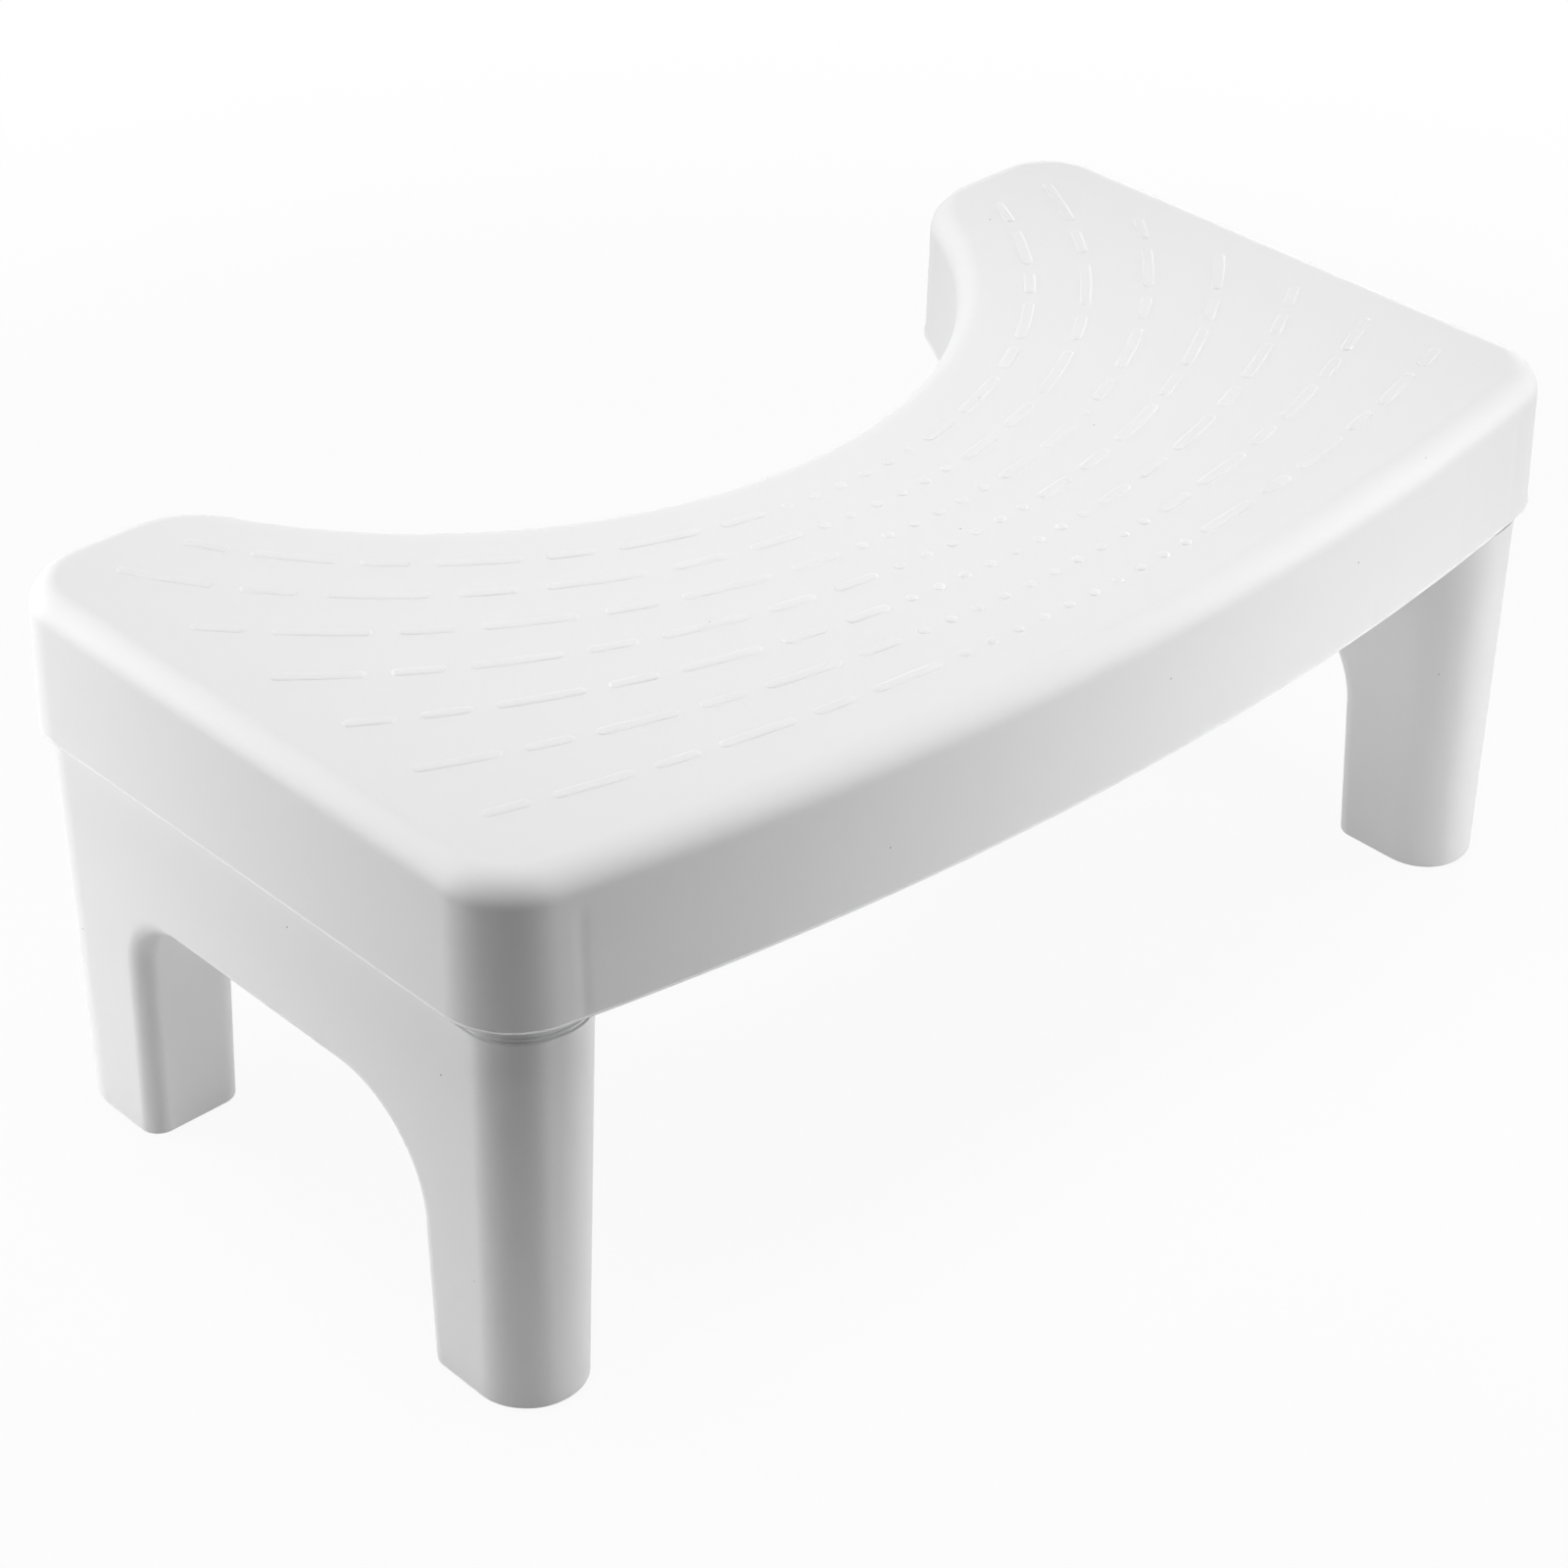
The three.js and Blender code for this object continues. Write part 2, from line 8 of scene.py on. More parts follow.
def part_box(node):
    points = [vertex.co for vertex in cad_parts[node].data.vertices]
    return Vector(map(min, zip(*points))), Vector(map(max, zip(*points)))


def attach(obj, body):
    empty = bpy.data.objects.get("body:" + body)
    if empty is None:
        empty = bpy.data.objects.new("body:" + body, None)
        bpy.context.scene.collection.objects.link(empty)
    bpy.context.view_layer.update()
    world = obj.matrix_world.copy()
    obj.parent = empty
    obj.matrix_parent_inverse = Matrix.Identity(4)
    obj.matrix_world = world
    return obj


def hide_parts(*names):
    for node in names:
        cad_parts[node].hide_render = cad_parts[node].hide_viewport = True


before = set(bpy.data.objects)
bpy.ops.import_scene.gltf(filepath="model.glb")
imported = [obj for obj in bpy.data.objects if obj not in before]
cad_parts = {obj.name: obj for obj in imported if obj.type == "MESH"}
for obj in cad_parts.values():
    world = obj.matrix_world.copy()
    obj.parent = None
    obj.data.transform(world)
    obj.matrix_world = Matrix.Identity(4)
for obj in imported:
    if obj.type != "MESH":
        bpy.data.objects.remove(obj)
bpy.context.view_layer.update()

MM = 0.001

# Seat outline in plan, and its section
FRONT_BOW = 21.3 * MM
PRONG_WIDTH = 61.5 * MM
RECESS_DEPTH = 95.1 * MM
FRONT_CORNER = 23 * MM
BACK_CORNER = 23.4 * MM
RECESS_CORNER = 30.8 * MM
SEAT_DRAFT = 1.2 * MM
TOP_EDGE = 8 * MM
SEAT_WALL = 2.8 * MM
LIP_EDGE = 0.1 * MM
BEAD = 0.3 * MM
BEAD_RISE = 0.5 * MM

# Raised grip marks on the top, GRIP_HEIGHT high in the solids and GRIP_RISE here
GRIP_HEIGHT = 0.7 * MM
GRIP_RISE = 0.35 * MM
GRIP_MARGIN = 22.6 * MM
FRONT_ROW_RADIUS = 588 * MM
GRIP_WIDTH = 3 * MM
GRIP_FOOT = 1.65 * MM
GRIP_SHOULDER = 1.1 * MM
GRIP_ROOT = 1 * MM
SHORT_DASH = 12.6 * MM
LONG_DASH = 22.4 * MM
DASH_GAP = 6.2 * MM
DOT_PITCH = 9.2 * MM
GRIP_ROWS = [
    (6, "SLSLSLS"),
    (6, "SSLSLSL"),
    (6, "SLSLSLS"),
    (6, "SSLSLSL"),
    (8, "SSLSLSS"),
    (10, "SLSLSL"),
    (10, "LSLSLS"),
]

# Ribs and leg sockets under the top
RIB_ROOT = 2.2 * MM
RIB_TIP = 1.5 * MM
RIB_DEPTH = 17 * MM
CROSS_RIB_PITCH = 52 * MM
CROSS_RIB_PAIRS = 2
BOWED_RIB_SHARES = (0.25, 0.75)
SOCKET_WALL = 2.2 * MM
SOCKET_WALL_RISE = 1.5 * MM
LOCATOR_PITCH = 34 * MM
LOCATOR_PAIRS = 2
FIT = 0.3 * MM

# Sink lines on the front skirt: distance from the stool's middle, half width and share of the full depth
SINK_LINES = [
    (57.5 * MM, 3 * MM, 0.2),
    (102 * MM, 3 * MM, 0.3),
    (145.5 * MM, 3 * MM, 0.3),
    (175.5 * MM, 3 * MM, 1),
]
SINK_DEPTH = 0.13 * MM

# Leg frames: how far their faces stand in from the skirt's, their width and their corners' radii
LEG_OUTER_INSET = 4.8 * MM
LEG_FRONT_INSET = 3.4 * MM
LEG_BACK_INSET = 2.3 * MM
LEG_WIDTH = 34 * MM
LEG_OUTER_FRONT = 15.6 * MM
LEG_INNER_FRONT = 14.9 * MM
LEG_OUTER_BACK = 18.3 * MM
LEG_INNER_BACK = 12 * MM

# What each face of a leg leans in by on its way down to the floor
OUTER_TAPER = 0.2 * MM
INNER_TAPER = 3.1 * MM
FRONT_TAPER = 1.8 * MM
BACK_TAPER = 2.4 * MM
ARCH_FRONT_TAPER = 3.8 * MM
ARCH_REAR_TAPER = 3.2 * MM

# Arch, shoulder, spigot and hollow of a leg frame
ARCH_DROP = 47.3 * MM
FRONT_FOOT = 43.7 * MM
REAR_FOOT = 45.8 * MM
ARCH_FRONT = 30 * MM
ARCH_REAR = 17 * MM
ARCH_EDGE = 6.1 * MM
ARCH_WALL = 3 * MM
FOOT_EDGE = 0.8 * MM
FOOT_FLOOR = 3.6 * MM
SHOULDER_DROP = 5.7 * MM
LEDGE = 0.8 * MM
LEDGE_RISE = 0.6 * MM
LEDGE_EDGE = 0.25 * MM
SPIGOT_RISE = 18 * MM
SPIGOT_LEAD = 0.8 * MM
SPIGOT_WALL = 2 * MM
WEB = 2 * MM
WEB_PITCH = 42 * MM
WEB_TOP_DROP = 4 * MM

# Rubber foot pads
PAD_INSET = 4.6 * MM
PAD_THICKNESS = 2 * MM
PAD_EDGE = 0.5 * MM

# Moulded polypropylene: slow waves, fine grain, and specks of dust in the resin
PLASTIC_COLOUR = "#F3F3F3"
SPECK_COLOUR = "#8C877E"
PLASTIC_IOR = 1.49
PLASTIC_ROUGHNESS = (0.6, 0.66)
WAVE_LENGTH = 28 * MM
WAVE_DEPTH = 0.03 * MM
PLASTIC_GRAIN = 0.9 * MM
PLASTIC_GRAIN_DEPTH = 0.006 * MM
SPECK_SPACING = 14 * MM
SPECK_CORE = 0.168 * MM
SPECK_RIM = 0.308 * MM

# Moulded rubber
RUBBER_COLOURS = ("#909396", "#A0A3A5")
RUBBER_IOR = 1.52
RUBBER_ROUGHNESS = 0.8
RUBBER_GRAIN = 0.6 * MM
RUBBER_GRAIN_DEPTH = 0.02 * MM

# Camera at the photograph's view
CAMERA_AZIMUTH = -43.276
CAMERA_ELEVATION = 33.495
CAMERA_ROLL = 0.384
CAMERA_DISTANCE = 1117 * MM
CAMERA_TARGET = (-26.6 * MM, -6.7 * MM, 80.2 * MM)
LENS = 91.91
SENSOR_WIDTH = 36

# Studio: softboxes as name, azimuth, elevation, distance and side in metres, watts and spread of the beam
LAMP_TARGET = (0, 0, 90 * MM)
SOFTBOXES = [
    ("top_softbox", 0, 89, 1.0, 0.8, 1.65, 50),
    ("right_softbox", 60, 8, 2.6, 0.7, 21, 180),
    ("low_front_softbox", 20, 3, 0.42, 0.22, 0.4, 180),
    ("left_softbox", -120, 8, 0.65, 0.35, 1.1, 180),
    ("rear_left_softbox", -150, 8, 1.6, 0.5, 8.5, 180),
    ("rear_right_softbox", 120, 8, 1.6, 0.5, 4, 180),
]
WORLD_FILL = 0.01
FLOOR_SIZE = 6
FLOOR_COLOUR = "#D9D9D9"
FLOOR_WHITENESS = 0.93

# How far from the stool's middle the floor keeps its shadow, and from where it is plain white
SHADOW_REACH = 250 * MM
WHITE_REACH = 750 * MM

# Modelling values
TINY = 0.01 * MM
OVERRUN = 4 * MM
SMOOTH_ANGLE = math.radians(30)
RIGHT_ANGLE = math.pi / 2

# Steps that the curves are drawn in
FRONT_BOW_STEPS = 48
FRONT_CORNER_STEPS = 20
BACK_CORNER_STEPS = 24
RECESS_CORNER_STEPS = 20
RECESS_STEPS = 56
BOWED_RIB_STEPS = 40
TOP_EDGE_STEPS = 10
LIP_EDGE_STEPS = 2
DASH_STEPS = 6
DASH_END_STEPS = 10
DOT_STEPS = 16
GRIP_SHOULDER_STEPS = 8
LEG_CORNER_STEPS = 16
ARCH_EDGE_STEPS = 8
LEDGE_EDGE_STEPS = 3
FOOT_EDGE_STEPS = 4

# How much of a face's normal lies along an axis: over FACING where it faces that way, and less than
# STEEP of it upright in a wall
FACING = 0.9
STEEP = 0.5

# Sockets of the Mix node that take and give colours
COLOUR_A = 6
COLOUR_B = 7
MIXED_COLOUR = 2

# Places from the frame
seat_low, seat_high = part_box("seat")
leg_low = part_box("right_leg_frame")[0]
HALF_LENGTH = seat_high.x
FRONT_Y = seat_low.y
BACK_Y = seat_high.y
LIP_Z = seat_low.z
TOP_Z = seat_high.z - GRIP_HEIGHT
FOOT_Z = leg_low.z
FRONT_RADIUS = (HALF_LENGTH**2 + FRONT_BOW**2) / (2 * FRONT_BOW)
FRONT_CENTRE_Y = FRONT_Y + FRONT_RADIUS
RECESS_HALF = HALF_LENGTH - PRONG_WIDTH
RECESS_RADIUS = (RECESS_HALF**2 + RECESS_DEPTH**2) / (2 * RECESS_DEPTH)
RECESS_EDGE_Y = BACK_Y - RECESS_DEPTH
RECESS_CENTRE_Y = RECESS_EDGE_Y + RECESS_RADIUS
SHOULDER_Z = LIP_Z - SHOULDER_DROP
SPIGOT_TOP_Z = LIP_Z + SPIGOT_RISE
SPIGOT_INSET = 2 * LEDGE
LEG_WALL = SPIGOT_INSET + SPIGOT_WALL


def open_mesh(name):
    """Starts a new empty mesh object and opens it for modelling."""
    bpy.ops.object.select_all(action="DESELECT")
    bpy.ops.mesh.primitive_plane_add(size=MM)
    bpy.context.object.name = name
    bpy.ops.object.mode_set(mode="EDIT")
    bpy.ops.mesh.delete(type="VERT")
    return bpy.context.object


def reopen(piece):
    """Opens a finished mesh object for modelling again, with all of it selected."""
    bpy.ops.object.select_all(action="DESELECT")
    piece.select_set(True)
    bpy.context.view_layer.objects.active = piece
    bpy.ops.object.mode_set(mode="EDIT")
    bpy.ops.mesh.select_all(action="SELECT")


def close_mesh():
    """Ends the modelling of the open mesh object."""
    bpy.ops.object.mode_set(mode="OBJECT")


def pick(kind, test):
    """Selects the vertices, edges or faces of the open mesh that pass the test, and nothing else."""
    bpy.ops.mesh.select_mode(type=kind)
    bpy.ops.mesh.select_all(action="DESELECT")
    mesh = bmesh.from_edit_mesh(bpy.context.object.data)
    for part in {"VERT": mesh.verts, "EDGE": mesh.edges, "FACE": mesh.faces}[kind]:
        if test(part):
            part.select_set(True)
    mesh.select_flush_mode()
    bmesh.update_edit_mesh(bpy.context.object.data)


def at_height(part, z):
    """Whether an edge or a face lies level at this height."""
    return all(abs(vertex.co.z - z) < TINY for vertex in part.verts)


def meets_steep_face(edge):
    """Whether a wall meets this edge."""
    return any(abs(face.normal.z) < STEEP for face in edge.link_faces)


def add_vertex(x, y, z):
    """One new vertex, selected alone."""
    bpy.ops.mesh.select_mode(type="VERT")
    bpy.ops.mesh.primitive_plane_add(size=MM, location=(x, y, z))
    bpy.ops.mesh.merge(type="CENTER")


def spin_vertex(centre, turn, steps):
    """Traces an arc from the selected vertex about an upright axis. turn is counter-clockwise."""
    bpy.ops.mesh.spin(steps=steps, angle=-turn, center=centre, axis=(0, 0, 1))


def draw_to(start, end):
    """Draws a straight line on from the selected vertex."""
    step = Vector(end) - Vector(start)
    bpy.ops.mesh.extrude_vertices_move(TRANSFORM_OT_translate={"value": step})


def extrude_faces(step):
    """Draws the selected faces out by a step, with walls after them."""
    bpy.ops.mesh.extrude_region_move(TRANSFORM_OT_translate={"value": step})


def apply_modifier(piece, kind, **settings):
    """Puts a modifier on a piece and applies it at once."""
    bpy.ops.object.select_all(action="DESELECT")
    piece.select_set(True)
    bpy.context.view_layer.objects.active = piece
    modifier = piece.modifiers.new(kind.title(), kind)
    for name, value in settings.items():
        setattr(modifier, name, value)
    bpy.ops.object.modifier_apply(modifier=modifier.name)


def combine(piece, tool, operation, crossing=False):
    """Joins a solid to a piece, cuts it out, or keeps what they share. The tool is used up.

    crossing says that the piece's own solids run through each other, as ribs do.
    """
    apply_modifier(piece, "BOOLEAN", object=tool, operation=operation, solver="EXACT", use_self=crossing)
    bpy.data.objects.remove(tool)


def finish_surface(piece):
    """Smooth across roundings, crisp at edges, and flat faces left looking flat."""
    bpy.ops.object.select_all(action="DESELECT")
    piece.select_set(True)
    bpy.context.view_layer.objects.active = piece
    bpy.ops.object.shade_smooth_by_angle(angle=SMOOTH_ANGLE)
    apply_modifier(piece, "WEIGHTED_NORMAL", keep_sharp=True)


def mirrored_copy(piece, name):
    """The same piece on the stool's left side, with a mesh of its own."""
    bpy.ops.object.select_all(action="DESELECT")
    piece.select_set(True)
    bpy.context.view_layer.objects.active = piece
    bpy.ops.object.duplicate()
    bpy.context.object.name = name
    reopen(bpy.context.object)
    bpy.ops.transform.resize(value=(-1, 1, 1), center_override=(0, 0, 0))
    bpy.ops.mesh.normals_make_consistent(inside=False)
    close_mesh()
    return bpy.context.object


def seat_outline(inset, z):
    """Traces half of the seat's outline with a vertex: bow, front corner, end, back corner, recess."""
    reach = FRONT_RADIUS - FRONT_CORNER
    front_x = HALF_LENGTH - FRONT_CORNER
    front_y = FRONT_CENTRE_Y - math.sqrt(reach**2 - front_x**2)
    front_turn = math.atan2(front_x, FRONT_CENTRE_Y - front_y)
    back_y = BACK_Y - BACK_CORNER
    back_x = HALF_LENGTH - BACK_CORNER
    tip_y = BACK_Y - RECESS_CORNER
    tip_reach = RECESS_RADIUS + RECESS_CORNER
    tip_x = math.sqrt(tip_reach**2 - (RECESS_CENTRE_Y - tip_y) ** 2)
    tip_turn = math.atan2(tip_x, RECESS_CENTRE_Y - tip_y)
    add_vertex(0, FRONT_Y + inset, z)
    spin_vertex((0, FRONT_CENTRE_Y, z), front_turn, FRONT_BOW_STEPS)
    spin_vertex((front_x, front_y, z), RIGHT_ANGLE - front_turn, FRONT_CORNER_STEPS)
    draw_to((HALF_LENGTH - inset, front_y, z), (HALF_LENGTH - inset, back_y, z))
    spin_vertex((back_x, back_y, z), RIGHT_ANGLE, BACK_CORNER_STEPS)
    draw_to((back_x, BACK_Y - inset, z), (tip_x, BACK_Y - inset, z))
    spin_vertex((tip_x, tip_y, z), tip_turn, RECESS_CORNER_STEPS)
    spin_vertex((0, RECESS_CENTRE_Y, z), -tip_turn, RECESS_STEPS)


def seat_form(name, inset, low_z, high_z, roll, draft):
    """The seat's outer form, open below: drafted walls up from its outline, and a rolled top edge."""
    form = open_mesh(name)
    seat_outline(inset, low_z)
    close_mesh()
    apply_modifier(form, "MIRROR", merge_threshold=TINY)
    reopen(form)
    bpy.ops.mesh.edge_face_add()
    if any(face.normal.z < 0 for face in bmesh.from_edit_mesh(form.data).faces):
        bpy.ops.mesh.flip_normals()
    bpy.ops.mesh.inset(thickness=draft, depth=high_z - low_z)
    pick("EDGE", lambda edge: at_height(edge, high_z))
    bpy.ops.mesh.bevel(offset=roll, segments=TOP_EDGE_STEPS, affect="EDGES", clamp_overlap=False)
    close_mesh()
    return form


def seat_shell():
    """The moulded shell, with a flat lip below and a fine bead round the lip's outer edge."""
    shell = seat_form("seat_moulding", BEAD, LIP_Z, TOP_Z, TOP_EDGE, SEAT_DRAFT - BEAD)
    bead_z = LIP_Z + BEAD_RISE
    reopen(shell)
    bpy.ops.mesh.bisect(plane_co=(0, 0, bead_z), plane_no=(0, 0, 1))
    close_mesh()
    outer_faces = len(shell.data.polygons)
    apply_modifier(shell, "SOLIDIFY", thickness=SEAT_WALL, offset=-1, use_even_offset=True)
    reopen(shell)
    pick("VERT", lambda vertex: vertex.co.z < LIP_Z + BEAD_RISE / 2)
    bpy.ops.transform.resize(value=(1, 1, 0), center_override=(0, 0, LIP_Z))
    pick("FACE", lambda face: face.index < outer_faces and face.calc_center_median().z < bead_z)
    bpy.ops.mesh.extrude_region_shrink_fatten(TRANSFORM_OT_shrink_fatten={"value": BEAD})
    mesh = bmesh.from_edit_mesh(shell.data)
    mesh.verts.index_update()
    bead_top = {v.index for v in mesh.verts if v.select and v.co.z > LIP_Z + BEAD_RISE / 2}
    pick("VERT", lambda vertex: vertex.index in bead_top)
    bpy.ops.transform.translate(value=(0, 0, -BEAD))
    pick("EDGE", lambda edge: at_height(edge, LIP_Z) and meets_steep_face(edge))
    bpy.ops.mesh.bevel(offset=LIP_EDGE, segments=LIP_EDGE_STEPS, affect="EDGES", clamp_overlap=False)
    close_mesh()
    return shell


def add_bar(low, high, taper=()):
    """A rib, wall or fin between two corners. taper scales its lower face on each axis, as draft does."""
    centre = (Vector(low) + Vector(high)) / 2
    bpy.ops.mesh.primitive_cube_add(size=1, location=centre, scale=Vector(high) - Vector(low))
    mesh = bmesh.from_edit_mesh(bpy.context.object.data)
    foot = [vertex.index for vertex in mesh.verts if vertex.select and vertex.co.z < centre.z]
    if taper:
        pick("VERT", lambda vertex: vertex.index in foot)
        bpy.ops.transform.resize(value=taper, center_override=centre)


def row_arc(share):
    """Radius and centre of a grip row or bowed rib. The bow eases from the recess's to the front row's."""
    first_y = RECESS_EDGE_Y - GRIP_MARGIN
    last_y = FRONT_Y + GRIP_MARGIN
    middle_y = first_y + (last_y - first_y) * share
    radius = 1 / ((1 - share) / (RECESS_RADIUS + GRIP_MARGIN) + share / FRONT_ROW_RADIUS)
    return radius, middle_y + radius


def add_bowed_rib(share, reach_x, low_z, high_z):
    """A rib that follows a row's arc: its upright section at one end, spun to the other end."""
    radius, centre_y = row_arc(share)
    swing = math.asin(reach_x / radius)
    start = (-radius * math.sin(swing), centre_y - radius * math.cos(swing), (low_z + high_z) / 2)
    bpy.ops.mesh.select_mode(type="FACE")
    bpy.ops.mesh.primitive_plane_add(size=1, location=start, rotation=(0, RIGHT_ANGLE, -swing))
    bpy.ops.transform.resize(value=(RIB_ROOT, RIB_ROOT, high_z - low_z), center_override=start)
    bpy.ops.mesh.spin(
        steps=BOWED_RIB_STEPS,
        angle=-2 * swing,
        center=(0, centre_y, 0),
        axis=(0, 0, 1),
    )


def seat_ribs():
    """Ribs, socket walls and locating fins under the top."""
    ribs = open_mesh("seat_ribs")
    rib_low = TOP_Z - SEAT_WALL - RIB_DEPTH
    spigot_outer = HALF_LENGTH - LEG_OUTER_INSET - SPIGOT_INSET
    spigot_inner = HALF_LENGTH - LEG_OUTER_INSET - LEG_WIDTH + SPIGOT_INSET
    spigot_middle = (spigot_outer + spigot_inner) / 2
    front_stop = front_middle_y(LIP_Z) + SPIGOT_INSET - FIT
    back_stop = leg_back_y(LIP_Z) - SPIGOT_INSET + FIT
    wall_x = spigot_inner - FIT - SOCKET_WALL / 2
    wall_low = LIP_Z + SOCKET_WALL_RISE
    half_rib = RIB_ROOT / 2
    along_x = (1, RIB_TIP / RIB_ROOT, 1)
    along_y = (RIB_TIP / RIB_ROOT, 1, 1)
    for i in range(-CROSS_RIB_PAIRS, CROSS_RIB_PAIRS + 1):
        x = i * CROSS_RIB_PITCH
        add_bar((x - half_rib, FRONT_Y, rib_low), (x + half_rib, BACK_Y, TOP_Z), along_y)
    for share in BOWED_RIB_SHARES:
        add_bowed_rib(share, wall_x, rib_low, TOP_Z)
    for side in (-1, 1):
        x = side * wall_x
        add_bar((x - SOCKET_WALL / 2, FRONT_Y, wall_low), (x + SOCKET_WALL / 2, BACK_Y, TOP_Z))
        for i in range(-LOCATOR_PAIRS, LOCATOR_PAIRS + 1):
            y = i * LOCATOR_PITCH
            for inner_x, low_z in ((wall_x, SPIGOT_TOP_Z + FIT), (spigot_outer + FIT, wall_low)):
                near_x, far_x = sorted((side * inner_x, side * HALF_LENGTH))
                add_bar((near_x, y - half_rib, low_z), (far_x, y + half_rib, TOP_Z), along_x)
        x = side * spigot_middle
        for near_y, far_y in ((FRONT_Y, front_stop), (back_stop, BACK_Y)):
            add_bar((x - half_rib, near_y, wall_low), (x + half_rib, far_y, TOP_Z), along_y)
    close_mesh()
    # The ribs run on past the shell, and are cut back to the middle of its wall
    half_wall = SEAT_WALL / 2
    core_low, core_high = LIP_Z + LEDGE, TOP_Z - half_wall
    core = seat_form("seat_core", half_wall, core_low, core_high, TOP_EDGE - half_wall, SEAT_DRAFT)
    reopen(core)
    pick("EDGE", lambda edge: edge.is_boundary)
    bpy.ops.mesh.edge_face_add()
    close_mesh()
    combine(ribs, core, "INTERSECT", crossing=True)
    return ribs


def add_dash(row, start, end, z):
    """The outline of a dash that follows its row between two distances from the stool's middle."""
    radius, centre_y = row
    first, last = (start + GRIP_WIDTH / 2) / radius, (end - GRIP_WIDTH / 2) / radius

    def place(turn, reach):
        return reach * math.sin(turn), centre_y - reach * math.cos(turn), z

    add_vertex(*place(first, radius + GRIP_FOOT))
    spin_vertex((0, centre_y, z), last - first, DASH_STEPS)
    spin_vertex(place(last, radius), math.pi, DASH_END_STEPS)
    spin_vertex((0, centre_y, z), first - last, DASH_STEPS)
    spin_vertex(place(first, radius), math.pi, DASH_END_STEPS)


def row_reach(radius, centre_y):
    """How far along a row its last dash may reach: a margin short of the seat's end and its back edge."""
    end_turn = math.asin(min(1, (HALF_LENGTH - GRIP_MARGIN) / radius))
    back_turn = math.acos(max(-1, min(1, (centre_y - BACK_Y + GRIP_MARGIN) / radius)))
    return radius * min(end_turn, back_turn)


def add_row(dots, dashes, row, z):
    """Half a row of outlines: dots by the stool's middle, then dashes stretched to end at its reach."""
    radius, centre_y = row
    for i in range(dots // 2):
        turn = (i + 0.5) * DOT_PITCH / radius
        place = (radius * math.sin(turn), centre_y - radius * math.cos(turn), z)
        bpy.ops.mesh.primitive_circle_add(vertices=DOT_STEPS, radius=GRIP_FOOT, location=place)
    lengths = [LONG_DASH if letter == "L" else SHORT_DASH for letter in dashes]
    start = (dots - 1) / 2 * DOT_PITCH + GRIP_WIDTH / 2 + DASH_GAP
    stretch = (row_reach(*row) - start) / (sum(lengths) + DASH_GAP * (len(lengths) - 1))
    for length in lengths:
        add_dash(row, start, start + length * stretch, z)
        start += (length + DASH_GAP) * stretch


def raise_crowns():
    """Raises the selected faces into low flat marks with rolled shoulders, inset by inset."""
    turns = [RIGHT_ANGLE * i / GRIP_SHOULDER_STEPS for i in range(GRIP_SHOULDER_STEPS + 1)]
    for low, high in zip(turns, turns[1:]):
        inward = GRIP_SHOULDER * (math.cos(low) - math.cos(high))
        upward = GRIP_RISE * (math.sin(high) - math.sin(low))
        bpy.ops.mesh.inset(thickness=inward, depth=upward)


def grip_marks():
    """Seven bowed rows of raised dots and dashes, each mark a closed solid rooted in the top."""
    marks = open_mesh("grip_marks")
    root_z = TOP_Z - GRIP_ROOT
    for i, (dots, dashes) in enumerate(GRIP_ROWS):
        add_row(dots, dashes, row_arc(i / (len(GRIP_ROWS) - 1)), root_z)
    bpy.ops.mesh.select_all(action="SELECT")
    bpy.ops.mesh.remove_doubles(threshold=TINY)
    close_mesh()
    apply_modifier(marks, "MIRROR", use_mirror_merge=False)
    reopen(marks)
    bpy.ops.mesh.edge_face_add()
    extrude_faces((0, 0, GRIP_ROOT - TINY))
    bpy.ops.mesh.select_all(action="SELECT")
    bpy.ops.mesh.normals_make_consistent(inside=False)
    pick("FACE", lambda face: at_height(face, TOP_Z - TINY))
    raise_crowns()
    close_mesh()
    return marks


def drop_share(z):
    """Share of the way from the skirt's lip down to the floor."""
    return max(0, (LIP_Z - z) / LIP_Z)


def leg_outer_x(z):
    """Outer face of the right leg frame."""
    return HALF_LENGTH - LEG_OUTER_INSET - OUTER_TAPER * drop_share(z)


def leg_inner_x(z):
    """Inner face of the right leg frame."""
    return HALF_LENGTH - LEG_OUTER_INSET - LEG_WIDTH + INNER_TAPER * drop_share(z)


def leg_back_y(z):
    """Back face of a leg frame."""
    return BACK_Y - LEG_BACK_INSET - BACK_TAPER * drop_share(z)


def leg_front_y(x, z):
    """Front face of a leg frame, which follows the seat's bowed front edge."""
    bow = FRONT_CENTRE_Y - math.sqrt((FRONT_RADIUS - LEG_FRONT_INSET) ** 2 - x**2)
    return bow + FRONT_TAPER * drop_share(z)


def front_middle_y(z):
    """Front face of a leg frame, half way across it."""
    return (leg_front_y(leg_outer_x(z), z) + leg_front_y(leg_inner_x(z), z)) / 2


def arch_front_y(z):
    """Where the arch starts behind the front foot."""
    return front_middle_y(LIP_Z) + FRONT_FOOT - ARCH_FRONT_TAPER * drop_share(z)


def arch_rear_y(z):
    """Where the arch ends before the rear foot."""
    return BACK_Y - LEG_BACK_INSET - REAR_FOOT + ARCH_REAR_TAPER * drop_share(z)


def leg_plan(z, inset):
    """Corners of the right leg frame in plan at one height, not yet rounded, moved in by inset."""
    inner_x, outer_x = leg_inner_x(z), leg_outer_x(z)
    inner_y, outer_y = leg_front_y(inner_x, z), leg_front_y(outer_x, z)
    slope = (outer_y - inner_y) / (outer_x - inner_x)
    step = inset * math.sqrt(1 + slope**2)
    back_y = leg_back_y(z) - inset
    return [
        (inner_x + inset, inner_y + slope * inset + step),
        (outer_x - inset, outer_y - slope * inset + step),
        (outer_x - inset, back_y),
        (inner_x + inset, back_y),
    ]


